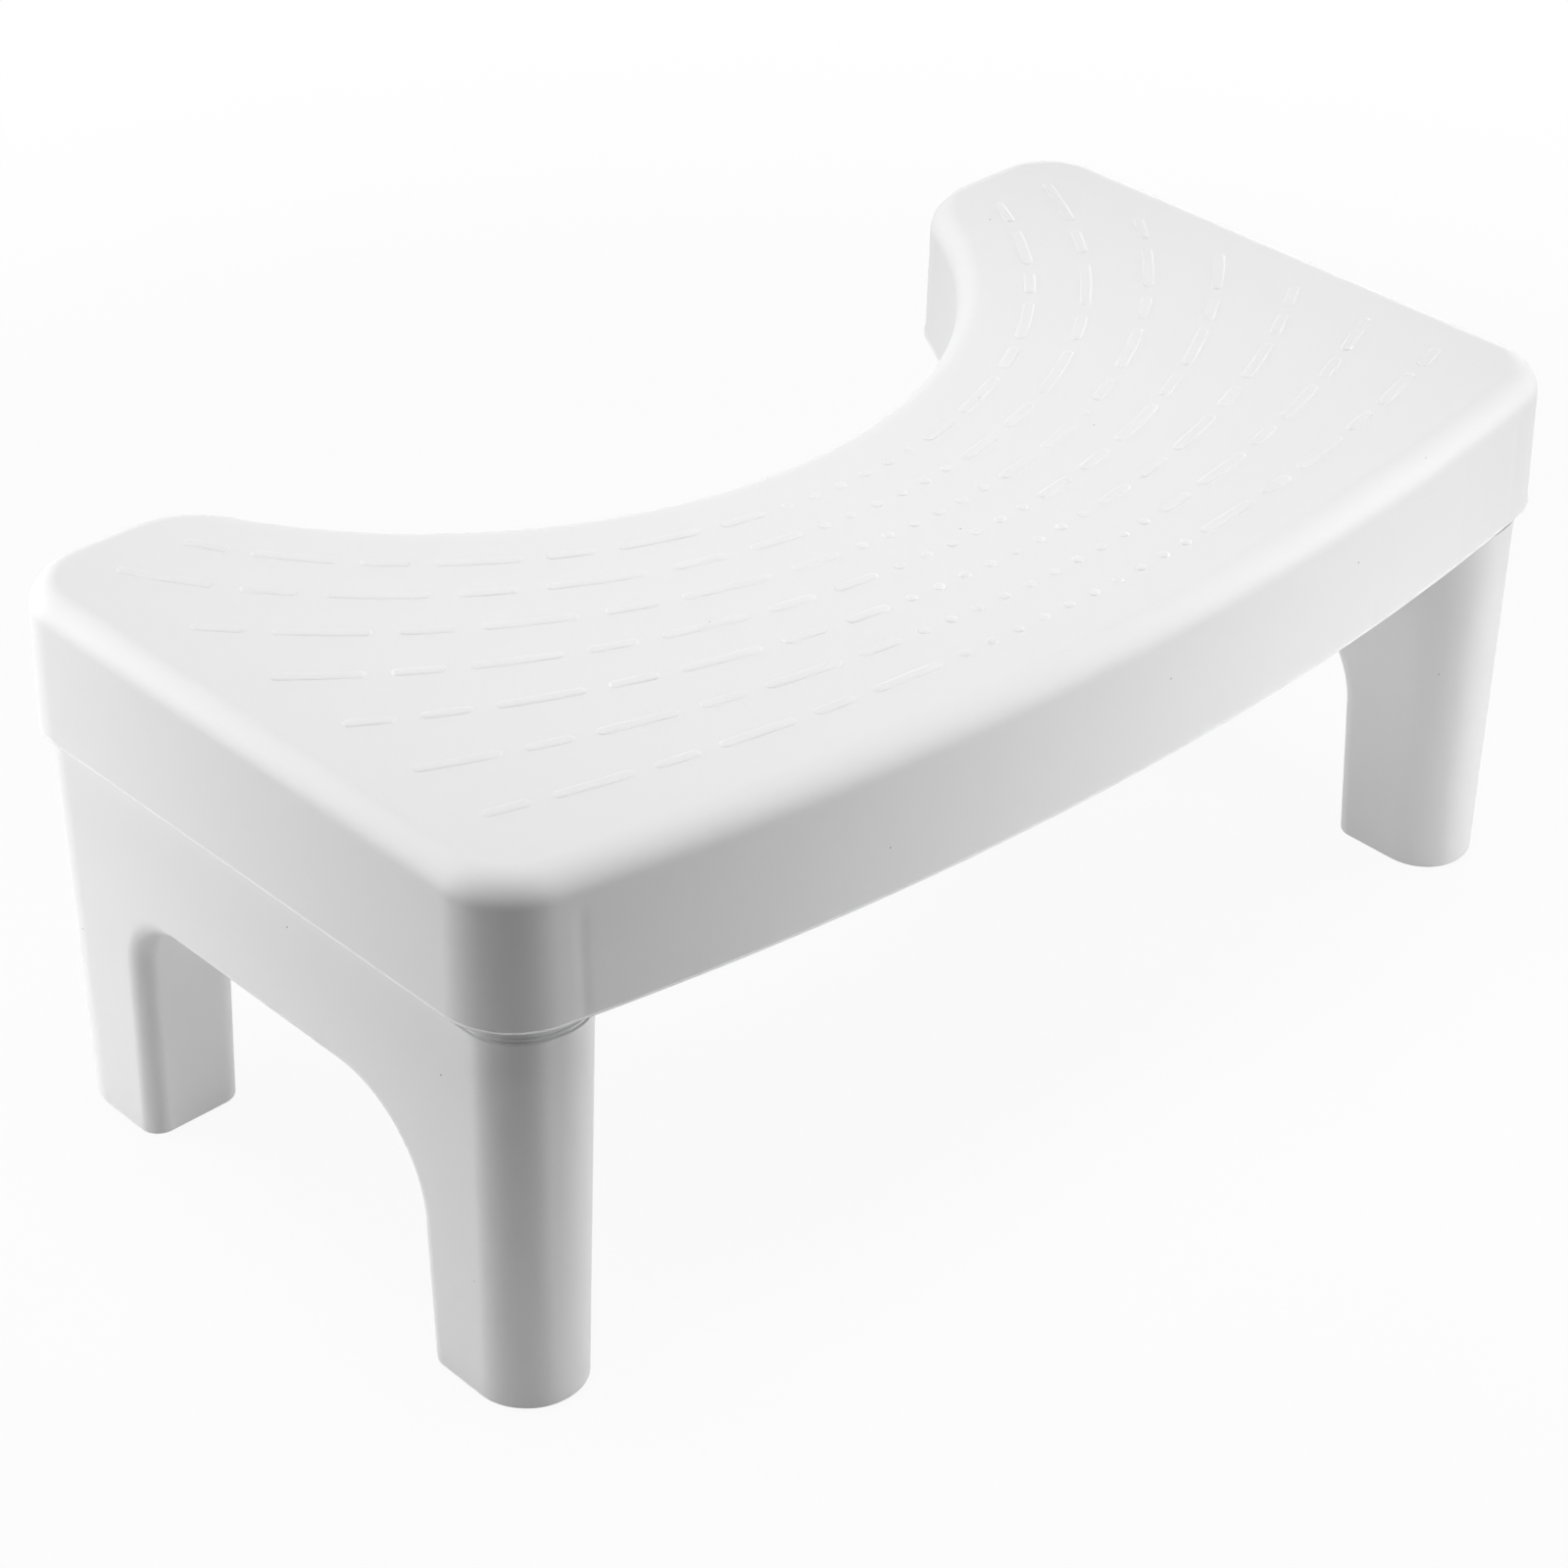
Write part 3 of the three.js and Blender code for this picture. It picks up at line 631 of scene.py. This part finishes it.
def drag(start, end):
    """Moves the vertex at one place to another."""
    pick("VERT", lambda vertex: (vertex.co - Vector(start)).length < TINY)
    bpy.ops.transform.translate(value=Vector(end) - Vector(start))


def add_block(low_plan, low_z, high_plan, high_z):
    """Adds a cube and drags its corners to four plan points at one height and four at another."""
    bpy.ops.mesh.primitive_cube_add(size=1)
    cube_plan = [(-0.5, -0.5), (0.5, -0.5), (0.5, 0.5), (-0.5, 0.5)]
    for level, plan, z in ((-0.5, low_plan, low_z), (0.5, high_plan, high_z)):
        for corner, place in zip(cube_plan, plan):
            drag((*corner, level), (*place, z))


def round_edge(start, end, radius, before, after):
    """Rounds the edge between two corners. before and after are the directions of its two sides."""
    turn = Vector(before).angle(Vector(after))
    ends = [Vector(start), Vector(end)]
    pick("EDGE", lambda edge: all(min((v.co - place).length for place in ends) < TINY for v in edge.verts))
    offset = radius * math.tan(turn / 2)
    bpy.ops.mesh.bevel(offset=offset, segments=LEG_CORNER_STEPS, affect="EDGES", clamp_overlap=False)


def leg_block(name, inset, low_z, high_z):
    """A block with the leg frame's rounded and tapered plan, between two heights. It is left open."""
    block = open_mesh(name)
    low_plan, high_plan = leg_plan(low_z, inset), leg_plan(high_z, inset)
    add_block(low_plan, low_z, high_plan, high_z)
    radii = (LEG_INNER_FRONT, LEG_OUTER_FRONT, LEG_OUTER_BACK, LEG_INNER_BACK)
    points = [Vector(place) for place in high_plan]
    for i, radius in enumerate(radii):
        before = points[i] - points[i - 1]
        after = points[(i + 1) % len(points)] - points[i]
        round_edge((*low_plan[i], low_z), (*high_plan[i], high_z), radius - inset, before, after)
    return block


def arch_block(name, grow):
    """A block that fills the arch from side to side, grown on all faces, with its two top edges rounded."""
    block = open_mesh(name)
    near_x, far_x = leg_inner_x(LIP_Z) - OVERRUN, leg_outer_x(LIP_Z) + OVERRUN
    low_z, high_z = -OVERRUN, LIP_Z - ARCH_DROP + grow
    corners = []
    for z in (low_z, high_z):
        front_y, rear_y = arch_front_y(z) - grow, arch_rear_y(z) + grow
        corners.append([(near_x, front_y), (far_x, front_y), (far_x, rear_y), (near_x, rear_y)])
    low_plan, high_plan = corners
    add_block(low_plan, low_z, high_plan, high_z)
    rise = high_z - low_z
    across = (0, 1, 0)
    up = (0, high_plan[0][1] - low_plan[0][1], rise)
    down = (0, low_plan[2][1] - high_plan[2][1], -rise)
    round_edge((*high_plan[0], high_z), (*high_plan[1], high_z), ARCH_FRONT + grow, up, across)
    round_edge((*high_plan[2], high_z), (*high_plan[3], high_z), ARCH_REAR + grow, across, down)
    close_mesh()
    return block


def leg_webs():
    """Cross webs that tie the two long walls of a leg frame together above the arch."""
    webs = open_mesh("leg_webs")
    low_z, high_z = LIP_Z - ARCH_DROP - OVERRUN, LIP_Z - WEB_TOP_DROP
    middle_y = (arch_front_y(LIP_Z) + arch_rear_y(LIP_Z)) / 2
    for i in (-1, 0, 1):
        y = middle_y + i * WEB_PITCH
        low = (leg_inner_x(LIP_Z), y - WEB / 2, low_z)
        high = (leg_outer_x(LIP_Z), y + WEB / 2, high_z)
        add_bar(low, high)
    close_mesh()
    return webs


def leg_hollow():
    """Hollow of a leg frame, open at the top of the spigot, with the webs left standing in it."""
    hollow = leg_block("leg_hollow", LEG_WALL, FOOT_Z + FOOT_FLOOR, SHOULDER_Z)
    pick("FACE", lambda face: at_height(face, SHOULDER_Z))
    extrude_faces((0, 0, SPIGOT_TOP_Z + OVERRUN - SHOULDER_Z))
    close_mesh()
    combine(hollow, arch_block("arch_wall", ARCH_WALL), "DIFFERENCE")
    combine(hollow, leg_webs(), "DIFFERENCE")
    return hollow


def roll_arch_edges():
    """Rolls the arch's edges on the leg's outer and inner faces."""

    def is_arch_edge(edge):
        sides = sorted(abs(face.normal.x) for face in edge.link_faces)
        level = at_height(edge, FOOT_Z) or at_height(edge, SHOULDER_Z)
        return sides[0] < 1 - FACING and sides[1] > FACING and not level

    pick("EDGE", is_arch_edge)
    bpy.ops.mesh.bevel(offset=ARCH_EDGE, segments=ARCH_EDGE_STEPS, affect="EDGES", clamp_overlap=False)


def add_spigot():
    """Steps the shoulder in twice and draws the spigot up from it, with a lead-in at its top."""
    pick("FACE", lambda face: at_height(face, SHOULDER_Z) and face.normal.z > FACING)
    bpy.ops.mesh.inset(thickness=LEDGE)
    extrude_faces((0, 0, LEDGE_RISE))
    bpy.ops.mesh.inset(thickness=LEDGE)
    extrude_faces((0, 0, SPIGOT_TOP_Z - SPIGOT_LEAD - SHOULDER_Z - LEDGE_RISE))
    bpy.ops.mesh.inset(thickness=SPIGOT_LEAD / 2, depth=SPIGOT_LEAD)


def break_edges():
    """Rounds the feet's lower edges and just breaks the outer edges of the two ledges."""
    pick("EDGE", lambda edge: at_height(edge, FOOT_Z) and meets_steep_face(edge))
    bpy.ops.mesh.bevel(offset=FOOT_EDGE, segments=FOOT_EDGE_STEPS, affect="EDGES", clamp_overlap=False)

    def is_ledge_edge(edge):
        level = at_height(edge, SHOULDER_Z) or at_height(edge, SHOULDER_Z + LEDGE_RISE)
        flat = [face for face in edge.link_faces if face.normal.z > FACING]
        steep = [face for face in edge.link_faces if abs(face.normal.z) < STEEP]
        return level and flat and steep and steep[0].calc_center_median().z < edge.verts[0].co.z

    pick("EDGE", is_ledge_edge)
    bpy.ops.mesh.bevel(offset=LEDGE_EDGE, segments=LEDGE_EDGE_STEPS, affect="EDGES", clamp_overlap=False)


def pick_foot_faces():
    """Selects the undersides of the leg frame's two feet."""
    pick("FACE", lambda face: at_height(face, FOOT_Z) and face.normal.z < -FACING)


def foot_pads(leg):
    """The two rubber pads of a leg frame, grown from copies of its feet's undersides."""
    reopen(leg)
    pick_foot_faces()
    bpy.ops.mesh.duplicate()
    bpy.ops.mesh.separate(type="SELECTED")
    close_mesh()
    pads = []
    both = [piece for piece in bpy.context.selected_objects if piece is not leg][0]
    reopen(both)
    bpy.ops.mesh.separate(type="LOOSE")
    close_mesh()
    for pad in list(bpy.context.selected_objects):
        reopen(pad)
        bpy.ops.mesh.inset(thickness=PAD_INSET - FOOT_EDGE)
        pick("FACE", lambda face: len(face.verts) == 4)
        bpy.ops.mesh.delete(type="FACE")
        bpy.ops.mesh.select_all(action="SELECT")
        bpy.ops.transform.translate(value=(0, 0, PAD_THICKNESS - FOOT_Z))
        extrude_faces((0, 0, -PAD_THICKNESS))
        pick("EDGE", lambda edge: at_height(edge, 0))
        bpy.ops.mesh.bevel(offset=PAD_EDGE, segments=FOOT_EDGE_STEPS, affect="EDGES", clamp_overlap=False)
        bpy.ops.mesh.select_all(action="SELECT")
        bpy.ops.mesh.normals_make_consistent(inside=False)
        close_mesh()
        pads.append(pad)
    return sorted(pads, key=lambda pad: pad.data.vertices[0].co.y)


def sink_pad_recesses():
    """Sinks the recess of each rubber pad into the foot's underside."""
    pick_foot_faces()
    bpy.ops.mesh.inset(thickness=PAD_INSET - FIT - FOOT_EDGE)
    extrude_faces((0, 0, PAD_THICKNESS + FIT - FOOT_Z))


def leg_frame():
    """The right leg frame, still solid: tapered block, rolled arch, stepped shoulder and spigot."""
    leg = leg_block("right_leg_moulding", 0, FOOT_Z, SHOULDER_Z)
    close_mesh()
    combine(leg, arch_block("arch", 0), "DIFFERENCE")
    reopen(leg)
    roll_arch_edges()
    add_spigot()
    break_edges()
    close_mesh()
    return leg


def linear(hex_colour):
    """An sRGB hex colour as the linear values that a shader takes."""
    channels = [int(hex_colour[i : i + 2], 16) / 255 for i in (1, 3, 5)]
    return [c / 12.92 if c <= 0.04045 else ((c + 0.055) / 1.055) ** 2.4 for c in channels] + [1]


def add_node(material, kind, settings=(), inputs=()):
    """Adds a node to a material or the world. An input is a value, or another node's output to link."""
    tree = material.node_tree
    node = tree.nodes.new(kind)
    for name, value in dict(settings).items():
        setattr(node, name, value)
    for name, value in dict(inputs).items():
        if isinstance(value, bpy.types.NodeSocket):
            tree.links.new(value, node.inputs[name])
        else:
            node.inputs[name].default_value = value
    return node


def calculate(material, operation, *values):
    """The result of a Math node on its values, each a number or another node's output."""
    node = add_node(
        material,
        "ShaderNodeMath",
        settings={"operation": operation},
        inputs=dict(enumerate(values)),
    )
    return node.outputs[0]


def new_material(name):
    """An empty material, and the Object coordinates that its patterns read."""
    material = bpy.data.materials.new(name)
    material.use_nodes = True
    material.node_tree.nodes.clear()
    place = add_node(material, "ShaderNodeTexCoord").outputs["Object"]
    return material, place


def sink_lines(material, place):
    """Faint upright sink lines on the front skirt: their share of the full depth, and 0 elsewhere."""
    parts = add_node(material, "ShaderNodeSeparateXYZ", inputs={"Vector": place})
    from_middle = calculate(material, "ABSOLUTE", parts.outputs["X"])
    total = 0
    for line_x, half_width, depth in SINK_LINES:
        aside = calculate(material, "SUBTRACT", from_middle, line_x)
        apart = calculate(material, "ABSOLUTE", aside)
        line = add_node(
            material,
            "ShaderNodeMapRange",
            settings={"interpolation_type": "SMOOTHSTEP"},
            inputs={"Value": apart, "From Max": half_width, "To Min": depth, "To Max": 0},
        )
        total = calculate(material, "ADD", line.outputs["Result"], total)
    below_edge = add_node(
        material,
        "ShaderNodeMapRange",
        settings={"interpolation_type": "SMOOTHSTEP"},
        inputs={
            "Value": parts.outputs["Z"],
            "From Min": TOP_Z - 2 * TOP_EDGE,
            "From Max": TOP_Z - TOP_EDGE,
            "To Min": 1,
            "To Max": 0,
        },
    )
    in_front = calculate(material, "LESS_THAN", parts.outputs["Y"], RECESS_EDGE_Y)
    on_skirt = calculate(material, "MULTIPLY", below_edge.outputs["Result"], in_front)
    return calculate(material, "MULTIPLY", total, on_skirt)


def moulded_polypropylene(name, ribbed=False):
    """White polypropylene from a spark-eroded mould: satin, very slightly wavy, finely grained.

    It has a few dark specks of dust in the resin, and sink lines where it is ribbed behind. Highlights
    are broad and soft, and never mirror-like.
    """
    material, place = new_material(name)
    waves = add_node(
        material,
        "ShaderNodeTexNoise",
        inputs={"Vector": place, "Scale": 1 / WAVE_LENGTH, "Detail": 1},
    )
    # The real grain is about 0.2 mm. It is drawn coarser, or it would not show.
    grain = add_node(
        material,
        "ShaderNodeTexNoise",
        inputs={"Vector": place, "Scale": 1 / PLASTIC_GRAIN, "Detail": 2},
    )
    wavy = add_node(
        material,
        "ShaderNodeBump",
        inputs={"Strength": 1, "Distance": WAVE_DEPTH, "Height": waves.outputs["Fac"]},
    )
    grained = add_node(
        material,
        "ShaderNodeBump",
        inputs={
            "Strength": 1,
            "Distance": PLASTIC_GRAIN_DEPTH,
            "Height": grain.outputs["Fac"],
            "Normal": wavy.outputs["Normal"],
        },
    )
    if ribbed:
        grained = add_node(
            material,
            "ShaderNodeBump",
            settings={"invert": True},
            inputs={
                "Strength": 1,
                "Distance": SINK_DEPTH,
                "Height": sink_lines(material, place),
                "Normal": grained.outputs["Normal"],
            },
        )
    roughness = add_node(
        material,
        "ShaderNodeMapRange",
        inputs={
            "Value": waves.outputs["Fac"],
            "To Min": PLASTIC_ROUGHNESS[0],
            "To Max": PLASTIC_ROUGHNESS[1],
        },
    )
    spots = add_node(
        material,
        "ShaderNodeTexVoronoi",
        inputs={"Vector": place, "Scale": 1 / SPECK_SPACING, "Randomness": 1},
    )
    speck = add_node(
        material,
        "ShaderNodeMapRange",
        inputs={
            "Value": spots.outputs["Distance"],
            "From Min": SPECK_CORE / SPECK_SPACING,
            "From Max": SPECK_RIM / SPECK_SPACING,
        },
    )
    colour = add_node(
        material,
        "ShaderNodeMix",
        settings={"data_type": "RGBA"},
        inputs={
            "Factor": speck.outputs["Result"],
            COLOUR_A: linear(SPECK_COLOUR),
            COLOUR_B: linear(PLASTIC_COLOUR),
        },
    )
    plastic = add_node(
        material,
        "ShaderNodeBsdfPrincipled",
        inputs={
            "Base Color": colour.outputs[MIXED_COLOUR],
            "Roughness": roughness.outputs["Result"],
            "IOR": PLASTIC_IOR,
            "Normal": grained.outputs["Normal"],
        },
    )
    add_node(material, "ShaderNodeOutputMaterial", inputs={"Surface": plastic.outputs["BSDF"]})
    return material


def moulded_rubber(name):
    """Soft grey thermoplastic rubber, moulded matt, with a fine dusty grain."""
    material, place = new_material(name)
    grain = add_node(
        material,
        "ShaderNodeTexNoise",
        inputs={"Vector": place, "Scale": 1 / RUBBER_GRAIN, "Detail": 3},
    )
    grained = add_node(
        material,
        "ShaderNodeBump",
        inputs={"Strength": 1, "Distance": RUBBER_GRAIN_DEPTH, "Height": grain.outputs["Fac"]},
    )
    colour = add_node(
        material,
        "ShaderNodeMix",
        settings={"data_type": "RGBA"},
        inputs={
            "Factor": grain.outputs["Fac"],
            COLOUR_A: linear(RUBBER_COLOURS[0]),
            COLOUR_B: linear(RUBBER_COLOURS[1]),
        },
    )
    rubber = add_node(
        material,
        "ShaderNodeBsdfPrincipled",
        inputs={
            "Base Color": colour.outputs[MIXED_COLOUR],
            "Roughness": RUBBER_ROUGHNESS,
            "IOR": RUBBER_IOR,
            "Normal": grained.outputs["Normal"],
        },
    )
    add_node(material, "ShaderNodeOutputMaterial", inputs={"Surface": rubber.outputs["BSDF"]})
    return material


def dress(piece, name, body, node, material):
    """Names a finished piece, gives it its material, says what it rides on, and hides the CAD part that it
    stands for.
    """
    piece.name = name
    piece.data.name = name
    piece.data.materials.clear()
    piece.data.materials.append(material)
    finish_surface(piece)
    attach(piece, body)
    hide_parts(node)


def seen_directly(material):
    """1 where the camera, a reflection or a clear piece looks at the surface, and 0 for stray light."""
    path = add_node(material, "ShaderNodeLightPath")
    reflected = calculate(
        material,
        "MAXIMUM",
        path.outputs["Is Glossy Ray"],
        path.outputs["Is Transmission Ray"],
    )
    return calculate(material, "MAXIMUM", path.outputs["Is Camera Ray"], reflected)


def add_floor():
    """A pale matt floor that keeps the stool's shadow faintly and fades to plain white further off."""
    bpy.ops.object.select_all(action="DESELECT")
    bpy.ops.mesh.primitive_plane_add(size=FLOOR_SIZE)
    floor = bpy.context.object
    floor.name = "floor"
    material, place = new_material("pale_studio_floor")
    away = add_node(
        material,
        "ShaderNodeVectorMath",
        settings={"operation": "LENGTH"},
        inputs={0: place},
    )
    whiteness = add_node(
        material,
        "ShaderNodeMapRange",
        settings={"interpolation_type": "SMOOTHSTEP"},
        inputs={
            "Value": away.outputs["Value"],
            "From Min": SHADOW_REACH,
            "From Max": WHITE_REACH,
            "To Min": FLOOR_WHITENESS,
            "To Max": 1,
        },
    )
    share = calculate(material, "MULTIPLY", seen_directly(material), whiteness.outputs["Result"])
    matt = add_node(material, "ShaderNodeBsdfDiffuse", inputs={"Color": linear(FLOOR_COLOUR)})
    white = add_node(material, "ShaderNodeEmission", inputs={"Color": linear("#FFFFFF"), "Strength": 1})
    mix = add_node(
        material,
        "ShaderNodeMixShader",
        inputs={0: share, 1: matt.outputs["BSDF"], 2: white.outputs["Emission"]},
    )
    add_node(material, "ShaderNodeOutputMaterial", inputs={"Surface": mix.outputs["Shader"]})
    floor.data.materials.append(material)


def light_world():
    """A low even fill, white where it is seen directly."""
    world = bpy.data.worlds.new("studio")
    bpy.context.scene.world = world
    world.use_nodes = True
    world.node_tree.nodes.clear()
    strength = add_node(
        world,
        "ShaderNodeMapRange",
        inputs={"Value": seen_directly(world), "To Min": WORLD_FILL, "To Max": 1},
    )
    white = add_node(
        world,
        "ShaderNodeBackground",
        inputs={"Color": linear("#FFFFFF"), "Strength": strength.outputs["Result"]},
    )
    add_node(world, "ShaderNodeOutputWorld", inputs={"Surface": white.outputs["Background"]})


def add_softbox(name, azimuth, elevation, distance, side, power, spread):
    """A soft area lamp that faces the stool. Azimuth 0 is in front of it, 90 past its right end."""
    lamp = bpy.data.lights.new(name, "AREA")
    lamp.size = side
    lamp.energy = power
    lamp.spread = math.radians(spread)
    holder = bpy.data.objects.new(name, lamp)
    holder.visible_camera = False
    bpy.context.scene.collection.objects.link(holder)
    turn = Matrix.Rotation(math.radians(azimuth), 4, "Z")
    tilt = Matrix.Rotation(RIGHT_ANGLE - math.radians(elevation), 4, "X")
    reach = Matrix.Translation((0, 0, distance))
    holder.matrix_world = Matrix.Translation(LAMP_TARGET) @ turn @ tilt @ reach
    return holder


def add_camera():
    """Camera at the photograph's view: a long lens, above the stool's left front corner."""
    camera = bpy.data.cameras.new("camera")
    camera.sensor_width = SENSOR_WIDTH
    camera.lens = LENS
    camera.clip_start = 10 * MM
    holder = bpy.data.objects.new("camera", camera)
    bpy.context.scene.collection.objects.link(holder)
    turn = Matrix.Rotation(math.radians(CAMERA_AZIMUTH), 4, "Z")
    tilt = Matrix.Rotation(RIGHT_ANGLE - math.radians(CAMERA_ELEVATION), 4, "X")
    roll = Matrix.Rotation(math.radians(CAMERA_ROLL), 4, "Z")
    reach = Matrix.Translation((0, 0, CAMERA_DISTANCE))
    holder.matrix_world = Matrix.Translation(CAMERA_TARGET) @ turn @ tilt @ roll @ reach
    bpy.context.scene.camera = holder


seat = seat_shell()
combine(seat, seat_ribs(), "UNION")
combine(seat, grip_marks(), "UNION")
right_leg = leg_frame()
# The pads are grown from the feet's undersides before these get their recesses
right_pads = foot_pads(right_leg)
reopen(right_leg)
sink_pad_recesses()
close_mesh()
combine(right_leg, leg_hollow(), "DIFFERENCE")
left_leg = mirrored_copy(right_leg, "left_leg")
left_pads = [mirrored_copy(pad, "left_pad") for pad in right_pads]

seat_plastic = moulded_polypropylene("moulded_white_polypropylene_seat", ribbed=True)
leg_plastic = moulded_polypropylene("moulded_white_polypropylene_legs")
pad_rubber = moulded_rubber("moulded_grey_rubber")
dress(seat, "seat_moulding", "seat", "seat", seat_plastic)
for side, leg, pads in (("left", left_leg, left_pads), ("right", right_leg, right_pads)):
    body = f"{side}_leg"
    dress(leg, f"{side}_leg_moulding", body, f"{side}_leg_frame", leg_plastic)
    for place, pad in zip(("front", "rear"), pads):
        node = f"{place}_{side}_foot_pad"
        dress(pad, f"{place}_{side}_rubber_pad", body, node, pad_rubber)

add_floor()
light_world()
add_camera()
for softbox in SOFTBOXES:
    add_softbox(*softbox)
bpy.context.scene.view_settings.view_transform = "Standard"
